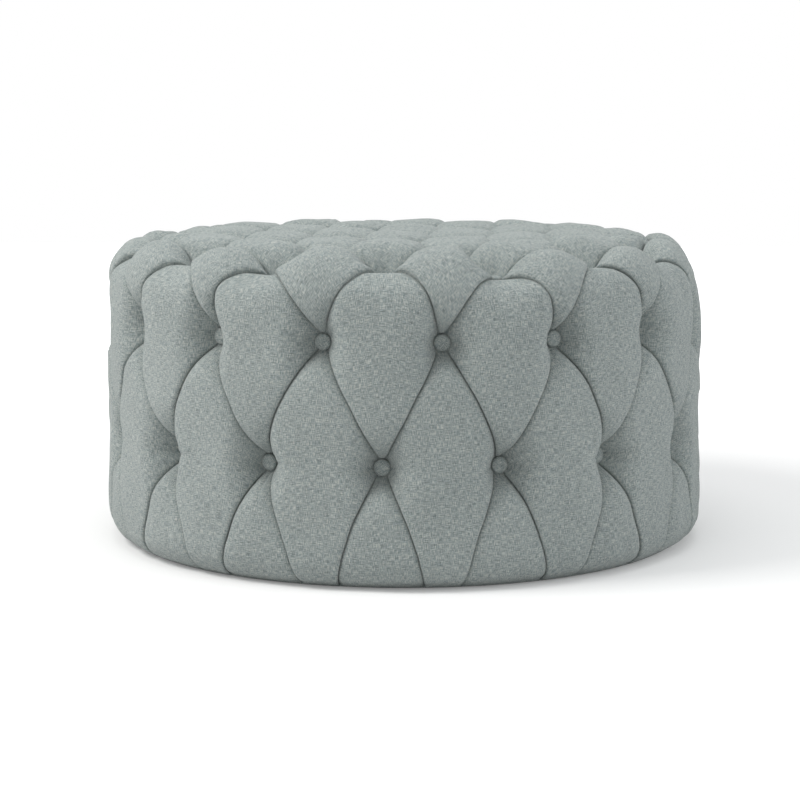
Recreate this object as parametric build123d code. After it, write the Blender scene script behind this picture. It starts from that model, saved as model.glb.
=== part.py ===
from build123d import *
import math
import os

# Round ottoman coffee table, deep-buttoned in diamonds. Millimetres, +Z up.
# The origin is on the floor, under the middle of the drum. The front faces -Y.
# An azimuth is counted from the front, towards +X.

# Drum, over the crests of the stuffing
drum_diameter = 900.0
drum_height = 458.0
rim_rounding = 68.0
skirt_height = 40.0
skirt_tuck = 13.0

# Stuffing and tufting
stuffing_depth = 54.7
tuft_depth = 44.0
rim_tuft_depth = 48.0
seat_radius = 21.0
top_pleat_depth = 19.0
side_pleat_depth = 12.0
crest_dip = 7.0
edge_dip = 9.0
fan_dip = 5.0
swell_chords = 4
hem_swell = 3.0
tufts_round = 16
lower_row_height = 163.0
upper_row_drop = 59.0
rim_row_inset = 70.0
lattice_across_share = 0.2316
lattice_along_share = 0.274
top_span_share = 3.5
rim_span_share = 4.4
hem_pleat_spread = 8.0
roll_share = 0.05
pleat_shares = (0.2, 0.8)
hem_pleat_shares = (0.25, 0.8)

# The pleats over the rim leave their rim tuft outwards, then spread: shares of the turn, and of
# the way down, at their inner points
petal_turn_shares = (0.45, 0.85)
petal_reach_shares = (0.4, 0.79)

# Clearance between a soft face and the piece it lies on, and the overrun of every cut
seat_gap = 0.3
overrun = 2.0

# Sides of the small round pieces
round_facets = 8

# Base
glide_height = 3.0
glide_radius = 14.0
glide_sole_radius = 11.0
dust_cover_thickness = 0.8
dust_cover_margin = 14.0
base_ring_thickness = 18.0
base_ring_width = 80.0

# Frame
wall_thickness = 3.0
deck_thickness = 15.0
top_foam_thickness = 10.0
hoop_thickness = 15.0
hoop_width = 60.0
hoop_height = 240.0
post_count = 8
post_side = 40.0
post_setback = 1.0
post_fit = 0.3
block_side = 32.0
block_height = 60.0
batten_width = 30.0
batten_depth = 40.0
batten_end_gap = 52.0

# Covered buttons, their twine and the toggles behind the boards
button_radius = 11.5
button_edge = 3.0
button_height = 6.5
button_crown_share = 0.52
twine_side = 1.8
twine_hole_side = 3.2
toggle_length = 22.0
toggle_width = 7.0
toggle_thickness = 5.0

# Worked out from the sizes above
drum_radius = drum_diameter / 2
bottom = glide_height + dust_cover_thickness
inner_radius = drum_radius - stuffing_depth
inner_top = drum_height - stuffing_depth
wall_radius = inner_radius - seat_gap
frame_radius = wall_radius - wall_thickness - seat_gap
deck_top = inner_top - seat_gap - top_foam_thickness
deck_underside = deck_top - deck_thickness
base_top = bottom + base_ring_thickness
post_radius = frame_radius - post_setback - post_side / 2
skirt_top = bottom + skirt_height
skirt_bend = (skirt_height**2 + skirt_tuck**2) / (2 * skirt_tuck)
side_top = drum_height - rim_rounding
rim_arc = rim_rounding * math.pi / 2
flat_radius = drum_radius - rim_rounding
tuft_step = 360 / tufts_round
post_azimuth = tuft_step / 4
upper_row_height = side_top - upper_row_drop
rim_row_radius = drum_radius - rim_row_inset
lattice_across = rim_row_radius * lattice_across_share
lattice_along = rim_row_radius * lattice_along_share


# The drum laid out flat: a point's distance from the middle of this chart is its way over the
# envelope from the middle of the top, across the rim and down the side.
def chart_reach(height):
    """How far from the chart's middle a height on the side lies."""
    return flat_radius + rim_arc + side_top - height


def chart_point(azimuth, reach):
    angle = math.radians(azimuth)
    return Vector(reach * math.sin(angle), -reach * math.cos(angle))


def azimuth_of(point):
    return math.degrees(math.atan2(point.X, -point.Y))


def profile(reach):
    """Radius, height and outward normal of the envelope at a distance from the chart's middle."""
    if reach <= flat_radius:
        return reach, drum_height, 0, 1
    if reach <= flat_radius + rim_arc:
        turn = (reach - flat_radius) / rim_rounding
        across, up = math.sin(turn), math.cos(turn)
        return flat_radius + rim_rounding * across, side_top + rim_rounding * up, across, up
    height = side_top - (reach - flat_radius - rim_arc)
    if height >= skirt_top:
        return drum_radius, height, 1, 0
    drop = skirt_top - height
    level = math.sqrt(skirt_bend**2 - drop**2)
    return drum_radius - skirt_bend + level, height, level / skirt_bend, -drop / skirt_bend


def lift(point, depth):
    """The point of the drum over a chart point, sunk below the envelope."""
    radius, height, across, up = profile(point.length)
    heading = point.normalized() if point.length > 0 else Vector(0, -1)
    middle = heading * (radius - depth * across)
    return Vector(middle.X, middle.Y, height - depth * up)


def outward(point):
    radius, height, across, up = profile(point.length)
    heading = point.normalized() if point.length > 0 else Vector(0, -1)
    return Vector(heading.X * across, heading.Y * across, up)


# Tufts: where the buttons pull the cover down. Each is a chart point with its depth.
def ring_of_tufts(first_azimuth, reach, depth):
    return [(chart_point(first_azimuth + tuft_step * k, reach), depth) for k in range(tufts_round)]


lower_tufts = ring_of_tufts(0, chart_reach(lower_row_height), tuft_depth)
upper_tufts = ring_of_tufts(tuft_step / 2, chart_reach(upper_row_height), tuft_depth)
rim_tufts = ring_of_tufts(0, rim_row_radius, rim_tuft_depth)

# The top's diamonds stand in columns and rows. A place is (column, row), and the rim tufts take
# the outermost places.
rim_places = []
for k in range(tufts_round):
    place = chart_point(tuft_step * k, rim_span_share)
    rim_places.append((round(place.X), round(place.Y)))
top_tufts = {}
for column in range(-tufts_round, tufts_round):
    for row in range(-tufts_round, tufts_round):
        if (column + row) % 2 == 0 and math.hypot(column, row) < top_span_share:
            spot = Vector(column * lattice_across, row * lattice_along)
            top_tufts[column, row] = (spot, tuft_depth)
lattice = dict(top_tufts)
lattice.update(zip(rim_places, rim_tufts))


# Pleats run from tuft to tuft, and rise to their own depth between them.
def along(start, end, share):
    return start + (end - start) * share


def petal_pleat(rim, upper):
    """The inner points of the pleat from a rim tuft over the rim to a tuft of the upper row."""
    turn = (azimuth_of(upper[0]) - azimuth_of(rim[0]) + 180) % 360 - 180
    points = []
    for turn_share, reach_share in zip(petal_turn_shares, petal_reach_shares):
        reach = along(rim[0].length, upper[0].length, reach_share)
        point = chart_point(azimuth_of(rim[0]) + turn * turn_share, reach)
        points.append((point, side_pleat_depth))
    return points


def pleat(start, end):
    """The inner points of the pleat between two tufts, as chart points with depths."""
    start_on_top, end_on_top = start[0].length < flat_radius, end[0].length < flat_radius
    if start_on_top and not end_on_top:
        return petal_pleat(start, end)
    if end_on_top and not start_on_top:
        return petal_pleat(end, start)[::-1]
    depth = top_pleat_depth if start_on_top else side_pleat_depth
    return [(along(start[0], end[0], share), depth) for share in pleat_shares]


def hem_pleat(tuft, spread):
    """The pleat that runs out at the hem, beside a tuft of the lower row."""
    end = chart_point(azimuth_of(tuft[0]) + spread, chart_reach(bottom))
    inner = [
        (along(tuft[0], end, share), side_pleat_depth * (1 - share)) for share in hem_pleat_shares
    ]
    return inner + [(end, 0)]


# Each tuft has a flat seat for its button, with a corner at each pleat and one in the middle of
# each wide puff. The puffs end on the seats' edges.
seat_corners = {}


def seat_corner(tuft, *heads):
    """The seat's corner towards a point, or between two: its chart point and its place."""
    middle, normal = lift(*tuft), outward(tuft[0])
    chart_heading, heading = Vector(), Vector()
    for head in heads:
        chart_heading += (head[0] - tuft[0]).normalized()
        way = lift(*head) - middle
        heading += (way - normal * way.dot(normal)).normalized()
    point = tuft[0] + chart_heading.normalized() * seat_radius
    corner = middle + heading.normalized() * seat_radius
    corners = seat_corners.setdefault(tuple(tuft[0]), (middle, normal, []))[-1]
    for known in corners:
        if (known - corner).length < seat_gap:
            return point, known
    corners.append(corner)
    return point, corner


def seats():
    """The flat seats, each through all its corners in turn."""
    faces = []
    for middle, normal, corners in seat_corners.values():
        start = corners[0] - middle
        corners.sort(key=lambda corner: start.get_signed_angle(corner - middle, normal))
        faces.append(Face(Wire.make_polygon(corners, close=True)))
    return faces


# A chain is a row of points down one side of a puff: those of its pleats, and the corners of the
# seat that they pass. Each point is a chart point with its place on the drum.
def laid(points):
    return [(point, lift(point, depth)) for point, depth in points]


def past_seat(tuft, before, after):
    """Round the side of a seat, from one pleat to the next."""
    return [seat_corner(tuft, *heads) for heads in ((before,), (before, after), (after,))]


def path(first, side, last):
    """From one tuft past another to a third, without its ends."""
    down, on = pleat(first, side), pleat(side, last)
    return laid(down) + past_seat(side, down[-1], on[0]) + laid(on)


def end_row(tuft, left, right):
    """Where a puff ends at a tuft, between two pleats."""
    return [seat_corner(tuft, left)[1], seat_corner(tuft, right)[1]]


def arc_over(left, right, crest):
    """A puff's swell from one pleat to the other, as the corners of its chords."""
    arc = Edge.make_three_point_arc(left[1], crest, right[1])
    return [arc @ (n / swell_chords) for n in range(swell_chords + 1)]


def swell(left, right, dip=0):
    return arc_over(left, right, lift((left[0] + right[0]) / 2, dip))


def hem_line(left, right):
    """The puff's edge at the hem, level all along."""
    reach = profile(chart_reach(bottom))[0] + hem_swell
    heading = ((left[0] + right[0]) / 2).normalized() * reach
    return arc_over(left, right, Vector(heading.X, heading.Y, bottom))


def strip(low, high):
    """Flat facets between two rows of points, taken in step with each other."""
    facets = []
    i = j = 0
    while i + 1 < len(low) or j + 1 < len(high):
        step_low = j + 1 == len(high) or (
            i + 1 < len(low) and (i + 1) * (len(high) - 1) <= (j + 1) * (len(low) - 1)
        )
        corners = [low[i], high[j], low[i + 1] if step_low else high[j + 1]]
        facets.append(Face(Wire.make_polygon(corners)))
        i, j = (i + 1, j) if step_low else (i, j + 1)
    return facets


def skin(rows):
    return [facet for low, high in zip(rows, rows[1:]) for facet in strip(low, high)]


def puff(first, left, last, right, last_dip=crest_dip):
    """A diamond between four tufts, faceted from swell to swell."""
    pairs = list(zip(path(first, left, last), path(first, right, last)))
    dips = [crest_dip] + [0] * (len(pairs) - 2) + [last_dip]
    swells = [swell(a, b, dip) for (a, b), dip in zip(pairs, dips)]
    start = end_row(first, pleat(first, left)[0], pleat(first, right)[0])
    finish = end_row(last, pleat(left, last)[-1], pleat(right, last)[-1])
    return skin([start] + swells + [finish])


def fan(apex, left, right):
    """A three-cornered puff, from one tuft over its swell to the pleat between the other two."""
    to_left, to_right, across = pleat(apex, left), pleat(apex, right), pleat(left, right)
    left_seat = past_seat(left, to_left[-1], across[0])
    right_seat = past_seat(right, to_right[-1], across[-1])
    pairs = zip(laid(to_left) + left_seat[:1], laid(to_right) + right_seat[:1])
    swells = [swell(a, b, dip) for (a, b), dip in zip(pairs, (crest_dip, 0, 0))]
    roll = along((left[0] + right[0]) / 2, apex[0], roll_share)
    swells.append(arc_over(left_seat[1], right_seat[1], lift(roll, fan_dip)))
    closing = [left_seat[2][1]] + [place for point, place in laid(across)] + [right_seat[2][1]]
    return skin([end_row(apex, to_left[0], to_right[0])] + swells + [closing])


def hanging_puff(top, left_chain, right_chain):
    """A puff of the lowest row, from a tuft down to the hem."""
    pairs = list(zip(left_chain, right_chain))
    swells = [swell(a, b, crest_dip * (n == 0)) for n, (a, b) in enumerate(pairs[:-1])]
    return skin([top] + swells + [hem_line(*pairs[-1])])


def top_faces():
    faces = []
    for column in range(-3, 4):
        for row in range(-3, 4):
            corners = [(column, row - 1), (column + 1, row), (column, row + 1), (column - 1, row)]
            if all(corner in lattice for corner in corners):
                faces += puff(*[lattice[corner] for corner in corners])
    for side in (1, -1):
        for end in (1, -1):
            faces += fan(lattice[3 * side, end], lattice[4 * side, 2 * end], lattice[4 * side, 0])
    return faces


def hanging_faces(k):
    """The two puffs of the lowest row between one hem pleat and the next but one."""
    lower, following = lower_tufts[k], lower_tufts[(k + 1) % tufts_round]
    before = hem_pleat(lower, -hem_pleat_spread)
    after = hem_pleat(lower, hem_pleat_spread)
    beyond = hem_pleat(following, -hem_pleat_spread)
    narrow = hanging_puff(end_row(lower, before[0], after[0]), laid(before), laid(after))
    left, right = pleat(upper_tufts[k], lower), pleat(upper_tufts[k], following)
    wide = hanging_puff(
        end_row(upper_tufts[k], left[0], right[0]),
        laid(left) + past_seat(lower, left[-1], after[0]) + laid(after),
        laid(right) + past_seat(following, right[-1], beyond[0]) + laid(beyond),
    )
    return narrow + wide


def rim_faces(k):
    """The puff that rolls over the rim above one upper tuft."""
    here, after = rim_places[k], rim_places[(k + 1) % tufts_round]
    if 0 in (here[0], after[0]):
        inner = (here[0] + after[0]) // 2, 3 if here[1] > 0 else -3
        return puff(upper_tufts[k], lattice[here], lattice[inner], lattice[after])
    return fan(upper_tufts[k], lattice[here], lattice[after])


def side_faces():
    faces = []
    for k in range(tufts_round):
        faces += puff(
            lower_tufts[k], upper_tufts[k - 1], rim_tufts[k], upper_tufts[k], last_dip=edge_dip
        )
        faces += hanging_faces(k)
        faces += rim_faces(k)
    return faces


def hem_face():
    """The cover's level underside."""
    corners = []
    for k in range(tufts_round):
        left = laid(hem_pleat(lower_tufts[k], -hem_pleat_spread))[-1]
        right = laid(hem_pleat(lower_tufts[k], hem_pleat_spread))[-1]
        following = laid(hem_pleat(lower_tufts[(k + 1) % tufts_round], -hem_pleat_spread))[-1]
        corners += hem_line(left, right)[:-1] + hem_line(right, following)[:-1]
    return Face(Wire.make_polygon(corners, close=True))


# Where each button sits: a plane on the bottom of its tuft, with its normal outwards
def at_tufts(tufts, solid):
    placed = []
    for point, depth in tufts:
        heading = point.normalized() if point.length > 0 else Vector(0, -1)
        plane = Plane(
            origin=lift(point, depth),
            x_dir=Vector(-heading.Y, heading.X),
            z_dir=outward(point),
        )
        placed.append(solid.moved(plane.location))
    return placed


def prism(side, low, high):
    return Pos(0, 0, (low + high) / 2) * Box(side, side, high - low)


def disc(radius, low, thickness):
    return Pos(0, 0, low + thickness / 2) * Cylinder(radius, thickness)


def ring(outer, inner, low, thickness):
    return disc(outer, low, thickness) - disc(inner, low - overrun, thickness + 2 * overrun)


def round_frame(solid, radius):
    """Copies of a piece modelled on the Z axis, stood round the drum at the posts' azimuths."""
    turns = [post_azimuth + 360 / post_count * k for k in range(post_count)]
    return [Rot(0, 0, turn) * Pos(0, -radius, 0) * solid for turn in turns]


def cut(solid, holes):
    return (solid - holes).solids()[0]


def tufted_cover():
    """The stuffed linen cover: its puffs all over the outside, plain where it lies on the frame."""
    faces = top_faces() + side_faces() + [hem_face()]
    drum = Solid(Shell(faces + seats()))
    hollow_low = bottom - overrun
    hollow = disc(inner_radius, hollow_low, inner_top - hollow_low)
    return cut(drum, [hollow, *holes["lower"], *holes["upper"], *holes["top"], *holes["rim"]])


def faceted(levels):
    """An upright solid with flat facets, through level outlines: each a height and a radius."""
    turns = [2 * math.pi * n / round_facets for n in range(round_facets)]
    outlines = [
        [Vector(radius * math.cos(turn), radius * math.sin(turn), height) for turn in turns]
        for height, radius in levels
    ]
    faces = [Face(Wire.make_polygon(outline, close=True)) for outline in outlines[::len(levels) - 1]]
    for low, high in zip(outlines, outlines[1:]):
        for n in range(round_facets):
            corners = [low[n - 1], low[n], high[n], high[n - 1]]
            faces.append(Face(Wire.make_polygon(corners, close=True)))
    return Solid(Shell(faces))


def button():
    """A covered button: straight at its edge, then crowned."""
    crown_radius = button_radius * button_crown_share
    levels = ((0, button_radius), (button_edge, button_radius), (button_height, crown_radius))
    return Pos(0, 0, seat_gap) * faceted(levels)


def toggle(back):
    """A short bar across the end of the twine, behind its board."""
    return Pos(0, 0, -back - toggle_thickness / 2) * Box(
        toggle_length, toggle_width, toggle_thickness
    )


def base_ring():
    return ring(frame_radius, frame_radius - base_ring_width, bottom, base_ring_thickness)


def posts():
    return round_frame(prism(post_side, base_top, deck_underside), post_radius)


def post_blocks():
    """Glue blocks in the corner between each post's inner face and the base ring."""
    block = prism(block_side, base_top, base_top + block_height)
    return round_frame(block, post_radius - (post_side + block_side) / 2)


def mid_hoop():
    """A hoop at half height, notched from outside to slip over the posts."""
    hoop = ring(frame_radius, frame_radius - hoop_width, hoop_height, hoop_thickness)
    notch_side = post_side + 2 * post_fit
    notch = Box(notch_side, notch_side, hoop_thickness + 2 * overrun)
    notch += Pos(0, -notch_side / 2, 0) * notch
    notches = round_frame(Pos(0, 0, hoop_height + hoop_thickness / 2) * notch, post_radius)
    return cut(hoop, notches)


def side_wall():
    wall = ring(wall_radius, wall_radius - wall_thickness, bottom, deck_underside - bottom)
    return cut(wall, holes["lower"] + holes["upper"])


def top_deck():
    return cut(disc(wall_radius, deck_underside, deck_thickness), holes["top"] + holes["rim"])


def deck_battens():
    """Two battens that stiffen the deck, between the columns of its tufts."""
    length = 2 * (frame_radius - batten_end_gap)
    batten = Pos(0, 0, deck_underside - batten_depth / 2) * Box(batten_width, length, batten_depth)
    return [Pos(side * lattice_across / 2, 0, 0) * batten for side in (-1, 1)]


def top_foam():
    return cut(disc(wall_radius, deck_top, top_foam_thickness), holes["top"] + holes["rim"])


def dust_cover():
    return disc(frame_radius - dust_cover_margin, glide_height, dust_cover_thickness)


def glides():
    """Nail-on glides under the base ring, narrower where they slide on the floor."""
    glide = faceted(((0, glide_sole_radius), (glide_height, glide_radius)))
    return round_frame(glide, frame_radius - base_ring_width / 2)


def write(name, solids):
    group = Compound(solids) if isinstance(solids, list) else solids
    export_step(group, f"parts/{name}.step")


# Each row's tufts, and how far behind the tuft's bottom its toggle lies
side_back = drum_radius - tuft_depth - (wall_radius - wall_thickness)
top_back = drum_height - tuft_depth - deck_underside
rim_back = drum_height - rim_tuft_depth - deck_underside
rows = {
    "lower": (lower_tufts, side_back + seat_gap),
    "upper": (upper_tufts, side_back + seat_gap),
    "top": (list(top_tufts.values()), top_back),
    "rim": (rim_tufts, rim_back),
}
holes = {
    name: at_tufts(tufts, prism(twine_hole_side, -back - overrun, overrun))
    for name, (tufts, back) in rows.items()
}

os.makedirs("parts", exist_ok=True)
for name, (tufts, back) in rows.items():
    write(f"{name}_buttons", at_tufts(tufts, button()))
    write(f"{name}_twines", at_tufts(tufts, prism(twine_side, -back, seat_gap)))
    write(f"{name}_toggles", at_tufts(tufts, toggle(back)))
for piece in (tufted_cover, top_foam, top_deck, side_wall, mid_hoop, base_ring, posts,
              post_blocks, deck_battens, dust_cover, glides):
    write(piece.__name__, piece())
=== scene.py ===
import math

import bmesh
import bpy
import numpy as np
from mathutils import Matrix, Vector
from numpy.linalg import norm


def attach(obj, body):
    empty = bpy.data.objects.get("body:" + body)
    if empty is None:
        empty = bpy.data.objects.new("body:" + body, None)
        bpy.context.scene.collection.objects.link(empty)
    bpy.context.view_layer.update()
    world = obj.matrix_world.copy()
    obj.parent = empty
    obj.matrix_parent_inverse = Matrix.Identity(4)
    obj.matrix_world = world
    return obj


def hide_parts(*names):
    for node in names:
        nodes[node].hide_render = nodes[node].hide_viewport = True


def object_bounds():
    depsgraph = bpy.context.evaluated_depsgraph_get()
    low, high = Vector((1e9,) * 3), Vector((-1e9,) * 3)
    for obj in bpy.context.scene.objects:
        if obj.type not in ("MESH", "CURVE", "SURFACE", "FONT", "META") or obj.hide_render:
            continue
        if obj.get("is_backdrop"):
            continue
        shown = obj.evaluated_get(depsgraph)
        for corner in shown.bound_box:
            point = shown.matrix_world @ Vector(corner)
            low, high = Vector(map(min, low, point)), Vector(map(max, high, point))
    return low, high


# Round ottoman coffee table, deep-buttoned in diamonds. Metres, front towards -Y.
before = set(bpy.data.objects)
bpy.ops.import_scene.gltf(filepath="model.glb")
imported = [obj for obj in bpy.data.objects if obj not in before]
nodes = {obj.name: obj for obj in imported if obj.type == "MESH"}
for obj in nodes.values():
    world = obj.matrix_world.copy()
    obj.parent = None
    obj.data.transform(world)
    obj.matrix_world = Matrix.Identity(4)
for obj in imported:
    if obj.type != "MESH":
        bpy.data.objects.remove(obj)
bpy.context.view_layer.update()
print("frame loaded:", len(nodes), "nodes")

# The drum and where its tufts are, as the frame has them
drum = {
    "radius": 0.450,
    "height": 0.458,
    "rimRounding": 0.068,
    "skirtHeight": 0.040,
    "skirtTuck": 0.013,
    "bottom": 0.0038,           # the base ring's underside
    "tuftsRound": 16,
    "lowerRow": 0.163,          # heights of the side's two rows of tufts
    "upperRow": 0.331,
    "rimRow": 0.380,            # radius of the ring of tufts at the rim
    "latticeAcross": 0.0880,
    "latticeAlong": 0.1041,
    "hemSpread": 8.0,           # degrees from a lower tuft to where its hem pleats end
    "tuftDepth": 0.044,
    "rimTuftDepth": 0.048,
}

sideTop = drum["height"] - drum["rimRounding"]
flatRadius = drum["radius"] - drum["rimRounding"]
rimArc = drum["rimRounding"] * math.pi / 2
skirtTop = drum["bottom"] + drum["skirtHeight"]
skirtBend = (drum["skirtHeight"] ** 2 + drum["skirtTuck"] ** 2) / (2 * drum["skirtTuck"])
tuftStep = 360 / drum["tuftsRound"]
sideStart = flatRadius + rimArc
hemReach = sideStart + sideTop - drum["bottom"]
hemLook = {
    "fold": 0.005,              # how far the cloth takes to turn under
    "drop": 0.0004,             # how far it sinks while it turns
    "sag": 0.0027,              # how far the turned edge hangs below the base ring
    "sagSpan": 0.030,
    "turnIn": 0.050,            # how far it runs in under the base ring
    "stepShares": (0, 0.026, 0.07, 0.14, 0.35, 0.6, 0.8, 1.0),
    "pucker": 0.0004,           # the turned edge is gathered in waves round the drum
    "puckerWaves": ((61, 0), (23, 1), (97, 2)),
    "puckerLimits": (-0.2, 0.8),
    "puckerShape": 0.7,
    "clear": 0.0003,            # nothing hangs lower than this over the floor
    # how far the lower edge is drawn in at each height
    "tuck": ((0.0038, 0.0150), (0.0070, 0.0118), (0.0120, 0.0086), (0.0200, 0.0052), (0.0320, 0.0022),
             (0.0480, 0.0)),
}
tiny = 1e-9         # keeps a division off zero


# The cloth laid out flat as a chart: a point's length is its way over the drum from the top's middle.
def chartReach(height):
    return sideStart + sideTop - height


def chartPoint(azimuth, reach):
    angle = math.radians(azimuth)
    return np.array([reach * math.sin(angle), -reach * math.cos(angle)])


# Radius, height and outward normal of the drum. Past its lower edge the hem turns under it.
def profile(reach):
    reach, hem = np.minimum(reach, hemReach), np.maximum(reach - hemReach, 0)
    turn = np.clip((reach - flatRadius) / drum["rimRounding"], 0, math.pi / 2)
    radius = np.minimum(reach, flatRadius) + drum["rimRounding"] * np.sin(turn)
    height = sideTop + drum["rimRounding"] * np.cos(turn)
    across, up = np.sin(turn), np.cos(turn)
    height = height - np.maximum(reach - flatRadius - rimArc, 0)
    radius = radius - np.interp(height, *zip(*hemLook["tuck"]))
    drop = np.maximum(skirtTop - height, 0)
    level = np.sqrt(skirtBend ** 2 - drop ** 2)
    radius = radius - np.where(drop > 0, skirtBend - level, 0)
    across = np.where(drop > 0, level / skirtBend, across)
    up = np.where(drop > 0, -drop / skirtBend, up)
    under = np.clip(hem / hemLook["fold"], 0, 1)
    radius = radius - hem + hemLook["fold"] * under * (1 - under / 2)
    height = height - hemLook["drop"] * np.sqrt(under * (2 - under))
    height = height - hemLook["sag"] * np.clip(1 - hem / hemLook["sagSpan"], 0, 1) ** 2 * (drop > 0)
    return radius, height, across * (1 - under), up * (1 - under) - under


# Which way chart points lie from the middle, and their profile.
def onDrum(points):
    reach = norm(points, axis=1)
    return points / np.maximum(reach, tiny)[:, None], *profile(reach)


# Chart points on the drum, sunk below its surface by their depths.
def lift(points, depth):
    heading, radius, height, across, up = onDrum(points)
    flat = heading * (radius - depth * across)[:, None]
    return np.column_stack([flat, height - depth * up])


def outward(points):
    heading, *_, across, up = onDrum(points)
    return np.column_stack([heading * across[:, None], up])


# The top's lattice by column and row: its own tufts, then the rim's in their order round the drum
topPlaces = [(0, 0), (2, 0), (-2, 0), (0, 2), (0, -2)]
topPlaces += [(column * side, row * end) for column, row in ((1, 1), (2, 2), (3, 1), (1, 3))
              for side in (1, -1) for end in (1, -1)]
rimPlaces = [(0, -4), (2, -4), (3, -3), (4, -2), (4, 0), (4, 2), (3, 3), (2, 4),
             (0, 4), (-2, 4), (-3, 3), (-4, 2), (-4, 0), (-4, -2), (-3, -3), (-2, -4)]

# Chart points of all tufts, by row and number or by row and lattice place
tufts = {}
for k in range(drum["tuftsRound"]):
    tufts["lower", k] = chartPoint(tuftStep * k, chartReach(drum["lowerRow"]))
    tufts["upper", k] = chartPoint(tuftStep / 2 + tuftStep * k, chartReach(drum["upperRow"]))
    tufts["rim", k] = chartPoint(tuftStep * k, drum["rimRow"])
for place in topPlaces:
    tufts["top", place] = np.array([place[0] * drum["latticeAcross"], place[1] * drum["latticeAlong"]])


def latticeTuft(place):
    if ("top", place) in tufts:
        return "top", place
    if place in rimPlaces:
        return "rim", rimPlaces.index(place)
    return None


def isRim(name):
    return name[0] == "rim"


# How the cloth is tucked between the tufts
tufting = {
    "rows": 34,                 # mesh rows across a puff
    "crowding": 0.86,           # how much closer together the rows lie towards a pleat
    "edgeShare": 0.0045,        # how near to a pleat the first row lies
    "lineSteps": 60,            # straight steps that a pleat is measured with
    "weldSteps": 2e5,           # steps to the metre of chart within which points are one
    "mapSteps": (2, 3),         # rows and columns from a patch's middle that its weave is laid by
    # by reach: depth of the valleys, how far from a pleat a puff is full, its crown over the drum,
    # and how far from a pleat the steep part of its rise goes
    "heights": ((0.260, 0.0260, 0.072, 0.0060, 0.013), (0.335, 0.0265, 0.070, 0.0068, 0.013),
                (0.382, 0.0250, 0.066, 0.0012, 0.012), (0.438, 0.0130, 0.048, 0.0, 0.008),
                (0.470, 0.0100, 0.045, 0.0, 0.007), (0.526, 0.0066, 0.055, 0.0, 0.006),
                (0.790, 0.0056, 0.055, 0.0, 0.006), (0.875, 0.0016, 0.040, 0.0, 0.006)),
    "steepShare": 0.52,
    "riseShape": 2.2,
    "leastGap": 0.00001,        # nearer to a pleat than this counts as on it
    "pitFloor": 0.0120,         # flat bottom of a tuft, under its button
    "pitReach": (0.0165, 0.0290),       # between two pleats, and along a pleat
    "rimPitReach": (0.0160, 0.0250),    # the same at the rim, towards the top
    "tonguePit": 0.0205,                # and at the rim, towards the side
    "tongueTurn": (-0.020, 0.012),      # inwards from a rim tuft, where the one turns into the other
    "pitHeart": 0.004,          # closer to a tuft's middle the pleats don't widen its pit
    "pitWedge": 1.8,            # how soon beside a pleat a pit is narrow
    "pitPower": 1.25,
    "pitTail": 0.05,
    "pitPleatPower": 0.25,      # how slowly the pleats run out into a pit
    "tongueSpan": (0.443, 0.484),       # by reach, where the side puffs flatten out over the rim
    "shoulder": 0.0052,         # how much rounder the puffs turn over the rim than the frame's drum
    "shoulderLean": 0.0030,     # more of it on the right than on the left
    "shoulderSpan": (0.355, 0.560),
    # how far the side swells out at each height
    "swelling": ((0.0040, 0.0), (0.0140, 0.0032), (0.0280, 0.0042), (0.0600, 0.0034), (0.1100, 0.0028),
                 (0.1650, 0.0010), (0.2400, 0.0012), (0.3100, 0.0)),
    "seed": 11,
}

# The pleats. A cut holds the way from a pleat's line, how far the cloth is pushed over the line
# there, and how deep it lies, on the side that laps over and on the side that lies under.
pleatLook = {
    "overCut": ((0.0, 0.0, 0.0072), (0.0007, 0.0013, 0.0049), (0.0013, 0.0029, 0.0029),
                (0.0022, 0.0036, 0.0012), (0.0035, 0.0036, 0.0002), (0.0051, 0.0029, -0.0004),
                (0.0080, 0.0014, -0.0006), (0.0120, 0.0004, -0.0003), (0.0200, 0.0, 0.0)),
    "underCut": ((0.0, 0.0, 0.0072), (0.0007, 0.0, 0.0067), (0.0013, 0.0, 0.0060),
                 (0.0022, 0.0, 0.0049), (0.0035, 0.0, 0.0036), (0.0051, 0.0, 0.0026),
                 (0.0080, 0.0, 0.0015), (0.0120, 0.0, 0.0007), (0.0240, 0.0, 0.0)),
    "pull": (0.7, 1.2),         # how hard single pleats are pulled in
    "topPull": 1.25,
    "petalPull": (0.45, 0.85),
    "pullWave": 0.22,           # how much the pull varies along a pleat
    "pullWaves": (5, 11, 19),
    "bowShare": 0.06,           # how far a pleat bows out, as a share of its length
    "hemBowShares": (0.07, 0.05),       # the same to the hem: always, and at random
    "petalSway": 0.05,
    "petalShares": ((0.30, 0.45), (0.50, 0.25)),    # of turn and reach, which bend a pleat over the rim
    "petalLeanShape": 0.8,
    "hemFade": 1.7,             # a hem pleat fades out over its length divided by this
    "hemLeast": 0.6,            # and keeps this share of its cut
}


pleatDice = np.random.default_rng(tufting["seed"])
pleats = {}


def bezier(points, t):
    t = t[:, None]
    points = [np.asarray(p, float) for p in points]
    while len(points) > 1:
        points = [a * (1 - t) + b * t for a, b in zip(points, points[1:])]
    return points[0]


class Pleat:
    def __init__(self, start, end, curve, fadeEnd=False, over=None, depth=1.0):
        self.start, self.end, self.curve = start, end, curve
        self.fadeEnd = fadeEnd
        self.over = over                                # the kind of puff that laps over it
        self.overLeft = pleatDice.random() < 0.5
        self.depth = depth * pleatDice.uniform(*pleatLook["pull"])
        self.lags = pleatDice.uniform(0, 2 * math.pi, len(pleatLook["pullWaves"]))

    def strength(self, way):
        wave = sum(np.sin(way * turns + lag) for turns, lag in zip(pleatLook["pullWaves"], self.lags))
        return self.depth * (1 + pleatLook["pullWave"] * (wave / len(self.lags)))


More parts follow.
